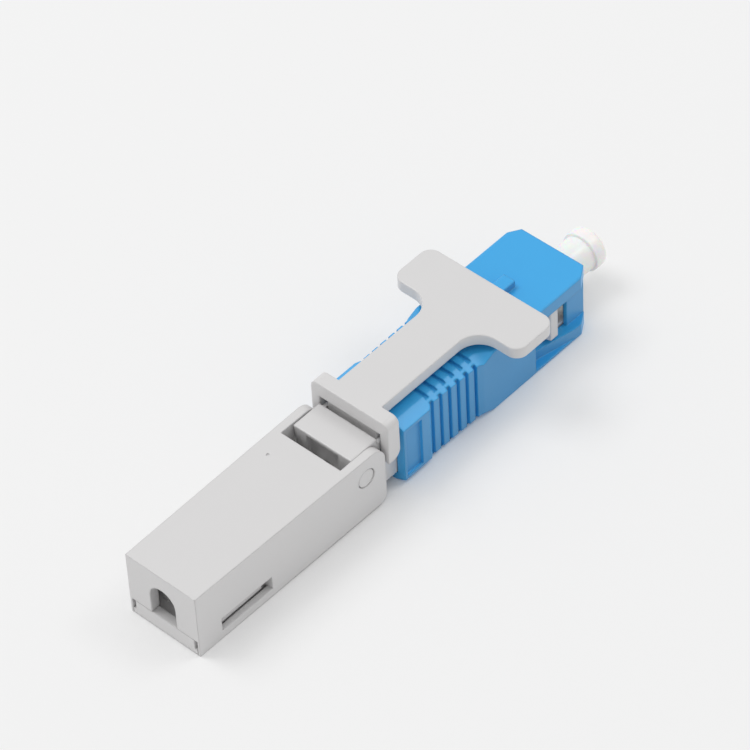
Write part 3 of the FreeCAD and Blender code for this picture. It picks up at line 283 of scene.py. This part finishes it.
def make_active(piece):
    """Select one piece only, for the operators that follow."""
    bpy.ops.object.select_all(action="DESELECT")
    piece.select_set(True)
    bpy.context.view_layer.objects.active = piece


def copied(node):
    """Copy a CAD node's mesh into a new object, with its triangles joined up into whole faces."""
    piece = bpy.data.objects.new(node + "_moulded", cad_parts[node].data.copy())
    bpy.context.scene.collection.objects.link(piece)
    make_active(piece)
    bpy.ops.object.mode_set(mode="EDIT")
    bpy.ops.mesh.select_all(action="SELECT")
    bpy.ops.mesh.remove_doubles(threshold=MERGE_DISTANCE)
    bpy.ops.mesh.dissolve_limited(angle_limit=FLAT_ANGLE)
    bpy.ops.object.mode_set(mode="OBJECT")
    print(node, "has", len(piece.data.polygons), "faces")
    return piece


sleeve = copied("grip_sleeve")
body_moulding = copied("connector_body")
plug_frame = copied("plug_frame")
cover = copied("tail_cover")
key = copied("wedge_key")
cap = copied("dust_cap")


# %% [markdown]
# ## Small corrections of form
#
# A few small forms differ a little on the real plug from the plain construction. They could be modelled
# again, but a point of a copy only has to move a few tenths of a millimetre. So its points are selected
# by their place and then scaled about a centre or shifted, as by hand. Places are in millimetres in the
# CAD frame, which keeps them easy to compare with a caliper.

# %% Choose points and move them
def near(value, mark, room=0.02):
    """Say whether a coordinate lies at a mark, within the room that rounding needs."""
    return abs(value - mark) < room


def reshape(piece, chosen, centre=(0, 0, 0), scale=(1, 1, 1), shift=(0, 0, 0)):
    """Scale and then shift the points for which chosen(x, y, z) is true; all places are in mm."""
    make_active(piece)
    bpy.ops.object.mode_set(mode="EDIT")
    bpy.ops.mesh.select_mode(type="VERT")
    bpy.ops.mesh.select_all(action="DESELECT")
    bpy.ops.object.mode_set(mode="OBJECT")
    points = [point for point in piece.data.vertices if chosen(*(point.co / MM))]
    for point in points:
        point.select = True
    bpy.ops.object.mode_set(mode="EDIT")
    bpy.ops.transform.resize(value=scale, center_override=Vector(centre) * MM)
    bpy.ops.transform.translate(value=Vector(shift) * MM)
    bpy.ops.object.mode_set(mode="OBJECT")
    print(piece.name, len(points), "points moved")


# %% [markdown]
# ### The mark and the pivots
#
# The mark that the mould's gate leaves on the cover's roof is a pinprick, so it shrinks about its own
# middle and moves towards the tail. The pivots are slim, so the rim of the cover's hole closes in, and
# the body's boss inside it closes in with it, about the hinge axis.

# %% Correct the mark and the pivots
MARK_X, MARK_Y = -34.7, 2.61
MARK_REACH = 0.5
MARK_SHRINK, MARK_MOVE = 0.36, -0.4
HINGE_X, HINGE_Z = -30.15, 1.18
HOLE_RADIUS, HOLE_SHRINK = 1.20, 0.85
BOSS_RADIUS, BOSS_SHRINK = 1.12, 0.83
RING_ROOM = 0.03


def on_pivot_ring(radius):
    """Choose the points on a circle round the cover's hinge axis."""
    return lambda x, y, z: near(math.hypot(x - HINGE_X, z - HINGE_Z), radius, RING_ROOM)


reshape(cover, lambda x, y, z: math.hypot(x - MARK_X, y - MARK_Y) < MARK_REACH,
        centre=(MARK_X, MARK_Y, 0), scale=(MARK_SHRINK, MARK_SHRINK, 1), shift=(MARK_MOVE, 0, 0))
reshape(cover, on_pivot_ring(HOLE_RADIUS),
        centre=(HINGE_X, 0, HINGE_Z), scale=(HOLE_SHRINK, 1, HOLE_SHRINK))
reshape(body_moulding, on_pivot_ring(BOSS_RADIUS),
        centre=(HINGE_X, 0, HINGE_Z), scale=(BOSS_SHRINK, 1, BOSS_SHRINK))


# %% [markdown]
# ### The cable arch and the recess
#
# The cable's arch in the cover's rear wall is a little slimmer, and its round top starts higher: all of
# it is drawn in from the sides, then the round top is flattened from where it springs and lifted. The
# recess in the rear face of the body's block, seen through the opening in the cover's roof, is wider and
# reaches higher.

# %% Correct the cable arch and the recess
ARCH_WALL = -50.3
ARCH_REACH = 1.6
ARCH_TOP = 0.1
ARCH_SPRING = 0.15
ARCH_SLIM, ARCH_LIFT = 0.955, 0.23
RECESS_REAR, RECESS_FRONT = -31.1, -30.3
RECESS_HALF, RECESS_TOP = 1.65, 2.5
RECESS_REACH = 1.9
RECESS_WIDEN, RECESS_LIFT = 1.14, 0.54

reshape(cover, lambda x, y, z: x < ARCH_WALL and abs(y) < ARCH_REACH, scale=(1, ARCH_SLIM, 1))
reshape(cover, lambda x, y, z: x < ARCH_WALL and abs(y) < ARCH_REACH and z > ARCH_TOP,
        centre=(0, 0, ARCH_SPRING), scale=(1, 1, ARCH_SLIM), shift=(0, 0, ARCH_LIFT))
reshape(body_moulding, lambda x, y, z: RECESS_REAR < x < RECESS_FRONT and near(abs(y), RECESS_HALF),
        scale=(1, RECESS_WIDEN, 1))
reshape(body_moulding,
        lambda x, y, z: RECESS_REAR < x < RECESS_FRONT and abs(y) < RECESS_REACH and near(z, RECESS_TOP),
        shift=(0, 0, RECESS_LIFT))


# %% [markdown]
# ### The key, the sleeve, the shoulder and the cap
#
# The key's foot fills more of its seat, and the bar of its saddle hangs lower. The panel at the sleeve's
# rear is pressed in deeper. The latch shoulder in the sleeve's window is shorter at its rear, and the
# cap's rim a little smaller.

# %% Correct the key, the sleeve, the shoulder and the cap
FOOT_REAR, FOOT_FRONT = -27.2, -26.1
FOOT_HALF, FOOT_TOP, FOOT_WIDEN = 1.3, 4.1, 2.23
BAR_UNDERSIDE, BAR_REACH, BAR_DROP = 4.08, 3.6, 0.1
PANEL_FRONT, PANEL_FLOOR, PANEL_PRESS = -22.8, 4.22, 0.974
SHOULDER_REAR, SHOULDER_SLOPE_END, SHOULDER_CUT = -5.95, -5.5, 0.55
FRAME_SIDE = 3.05
CAP_RIM, CAP_SHRINK = 2.1, 0.967
FACE_ROOM = 0.01

reshape(key, lambda x, y, z: FOOT_REAR < x < FOOT_FRONT and near(abs(y), FOOT_HALF) and z < FOOT_TOP,
        scale=(1, FOOT_WIDEN, 1))
reshape(key, lambda x, y, z: near(z, BAR_UNDERSIDE, FACE_ROOM) and abs(y) < BAR_REACH,
        shift=(0, 0, -BAR_DROP))
reshape(sleeve, lambda x, y, z: x < PANEL_FRONT and near(abs(y), PANEL_FLOOR, FACE_ROOM),
        scale=(1, PANEL_PRESS, 1))
reshape(plug_frame, lambda x, y, z: SHOULDER_REAR < x < SHOULDER_SLOPE_END and abs(y) > FRAME_SIDE,
        shift=(SHOULDER_CUT, 0, 0))
reshape(cap, lambda x, y, z: math.hypot(y, z) > CAP_RIM, scale=(1, CAP_SHRINK, CAP_SHRINK))


# %% [markdown]
# ## Soft edges
#
# No moulding has a knife edge: the mould's corners are rounded by a tenth of a millimetre or so, and
# that is what catches the light and makes a small part look real. A bevel rounds the edges of each copy
# and leaves the shallow facets crisp. Weighted normals keep the large faces flat in the light, so only
# the rounded edges shade.

# %% Soften the edges of the mouldings
FACET_ANGLE = math.radians(24)
EDGE_SEGMENTS = 3


def soften(piece, node, edge_radius, body):
    """Round a copy's edges and let it stand for its CAD node."""
    make_active(piece)
    bevel = piece.modifiers.new("edges", "BEVEL")
    bevel.width = edge_radius
    bevel.segments = EDGE_SEGMENTS
    bevel.limit_method = "ANGLE"
    bevel.angle_limit = FACET_ANGLE
    bpy.ops.object.modifier_apply(modifier="edges")
    bpy.ops.object.shade_smooth_by_angle(angle=FACET_ANGLE)
    weighted = piece.modifiers.new("flat faces", "WEIGHTED_NORMAL")
    weighted.keep_sharp = True
    bpy.ops.object.modifier_apply(modifier="flat faces")
    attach(piece, body)
    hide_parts(node)
    print(node, "has", len(piece.data.polygons), "faces after softening")


soften(sleeve, "grip_sleeve", 0.10 * MM, "grip")
soften(body_moulding, "connector_body", 0.07 * MM, "connector")
soften(plug_frame, "plug_frame", 0.07 * MM, "connector")
soften(cover, "tail_cover", 0.12 * MM, "cover")
soften(key, "wedge_key", 0.18 * MM, "key")
soften(cap, "dust_cap", 0.12 * MM, "cap")


# %% [markdown]
# ## The sleeve's sides
#
# Fingers hold the sleeve by its sides, so the mould is eroded coarser there, which the second material's
# rougher grain gives.
# Its darker, greyer colour is painted shade, drawing the sides as less lit than the top. The second
# material goes to the faces that look sideways, found by their normals.

# %% Give the sleeve's sides their coarser finish
SIDEWAYS = 0.88

sleeve.data.materials.append(blue_coarse_with_painted_shade)
# Painted shade: the sideways faces take the darker, greyer colour.
sides = [face for face in sleeve.data.polygons if abs(face.normal.y) > SIDEWAYS]
for face in sides:
    face.material_index = 1
print("grip_sleeve has", len(sides), "coarse, shade-painted faces")


# %% [markdown]
# ## The sheet
#
# The connector lies on a pale, matt sheet that is lit from below as well, as on a light table, so about
# half of what the eye sees of it glows evenly and the shadow stays faint. Ambient occlusion takes the
# glow away close to the connector, which paints the dark line of contact: a painted contact shadow. The
# glow is only for a look, a reflection or a look through glass: it lights nothing. From below the sheet
# is clear, so that the underside can be looked at.

# %% A switch for what is seen
def seen_directly(owner):
    """Return a factor that is 1 for a look, a reflection or a look through glass, and 0 for light."""
    ray = add_node(owner, "LightPath").outputs
    seen = add_node(owner, "Math", {0: ray["Is Camera Ray"], 1: ray["Is Glossy Ray"]},
                    operation="MAXIMUM")
    seen = add_node(owner, "Math", {0: seen.outputs["Value"], 1: ray["Is Transmission Ray"]},
                    operation="MAXIMUM")
    return seen.outputs["Value"]


# %% The sheet's material
SHEET_GLOW = 0.5
CONTACT = 4 * MM
CONTACT_POWER = 2

# Matt white sheet: no shine at all, so it shows only shade and glow.
paper = new_material("matt_white_sheet")
lit = add_node(paper, "BsdfPrincipled", {"Base Color": linear("#F3F3F3"), "Roughness": 0.9,
                                         "Specular IOR Level": 0.1})
even = add_node(paper, "Emission", {"Color": linear("#EFEFEF"), "Strength": 1})
# Painted contact shadow: ambient occlusion takes the glow away close to the connector.
painted_contact_shade = add_node(paper, "AmbientOcclusion", {"Distance": CONTACT})
painted_contact_shade = add_node(paper, "Math", {0: painted_contact_shade.outputs["AO"], 1: CONTACT_POWER}, operation="POWER")
share = add_node(paper, "Math", {0: painted_contact_shade.outputs["Value"], 1: SHEET_GLOW}, operation="MULTIPLY")
share = add_node(paper, "Math", {0: seen_directly(paper), 1: share.outputs["Value"]},
                 operation="MULTIPLY")
sheet = add_node(paper, "MixShader", {0: share.outputs["Value"], 1: lit.outputs["BSDF"],
                                      2: even.outputs["Emission"]})
below = add_node(paper, "NewGeometry").outputs["Backfacing"]
clear = add_node(paper, "BsdfTransparent")
one_sided = add_node(paper, "MixShader", {0: below, 1: sheet.outputs["Shader"],
                                          2: clear.outputs["BSDF"]})
finish_material(paper, one_sided.outputs["Shader"])
print(paper.name, "has", len(paper.node_tree.nodes), "nodes")


# %% Lay the sheet
FLOOR_LEVEL = cad_box[0].z
SHEET_SIZE = 4

bpy.ops.object.select_all(action="DESELECT")
bpy.ops.mesh.primitive_plane_add(size=SHEET_SIZE, location=(0, 0, FLOOR_LEVEL))
floor = bpy.context.active_object
floor.name = "pale_sheet"
floor.data.materials.append(paper)
print("sheet at", round(FLOOR_LEVEL / MM, 2), "mm")


# %% [markdown]
# ## The light
#
# The light is that of a light tent: a bright even sky, a soft lamp above and behind, and a small one in
# front that draws the thin bright lines along the edges. The tent's walls look a little brighter than
# the light that they give, as on an over-lit backdrop.

# %% Light the tent
TENT_LIGHT = 0.65
TENT_SEEN = 0.84

world = bpy.data.worlds.new("tent")
bpy.context.scene.world = world
world.use_nodes = True
tent_light = add_node(world, "Mix", {"Factor": seen_directly(world), "A": TENT_LIGHT, "B": TENT_SEEN})
tent = world.node_tree.nodes["Background"]
world.node_tree.links.new(tent_light.outputs["Result"], tent.inputs["Strength"])
tent.inputs["Color"].default_value = (1, 1, 1, 1)


def soft_lamp(name, direction, distance, size, power):
    """A square area lamp that looks back at the middle of the connector; metres and watts."""
    lamp = bpy.data.lights.new(name, "AREA")
    lamp.shape = "SQUARE"
    lamp.size = size
    lamp.energy = power
    towards = Vector(direction).normalized()
    holder = bpy.data.objects.new(name, lamp)
    holder.location = AIM + towards * distance
    holder.rotation_euler = towards.to_track_quat("Z", "Y").to_euler()
    bpy.context.scene.collection.objects.link(holder)
    print(name, "at m:", [round(value, 2) for value in holder.location])


soft_lamp("window_lamp", direction=(-0.3, 0.75, 1.3), distance=0.9, size=0.4, power=2.8)
soft_lamp("edge_lamp", direction=(0.5, -0.3, 0.8), distance=0.8, size=0.25, power=0.8)
bpy.context.scene.view_settings.view_transform = "Standard"
